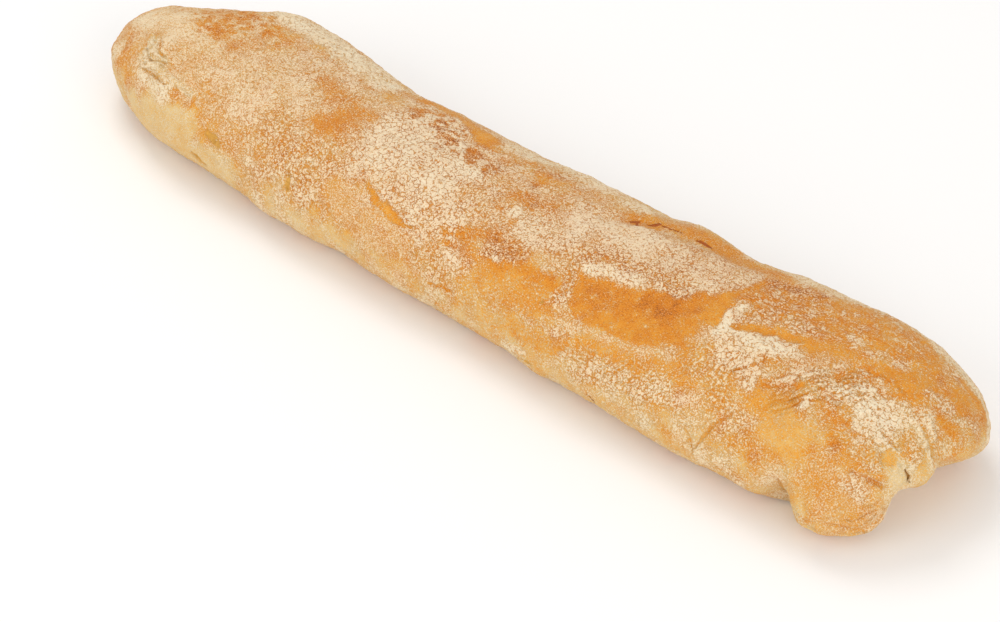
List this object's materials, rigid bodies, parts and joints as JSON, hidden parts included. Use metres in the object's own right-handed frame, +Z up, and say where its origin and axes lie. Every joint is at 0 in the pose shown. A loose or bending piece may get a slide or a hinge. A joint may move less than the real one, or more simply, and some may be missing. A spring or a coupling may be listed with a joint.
{
  "type": "baguette",
  "caption": "Long, flat rustic white loaf with a flour-dusted golden crust, uneven hand-shaped sides, a slim rounded tip and a blunt tip with a stubby ear.",
  "frame": {"origin": "middle of the loaf's footprint box, on the surface that it lies on", "axes": "+X along the loaf from the slim tip to the blunt tip, +Z up, and the ear is on the -Y side of the blunt tip"},
  "size_m": [0.5074, 0.114, 0.059],
  "materials": {
    "crust": "dry, matt golden baked crust dusted with pale flour"
  },
  "bodies": {
    "root": {"loaf": "crust"}
  },
  "joints": []
}
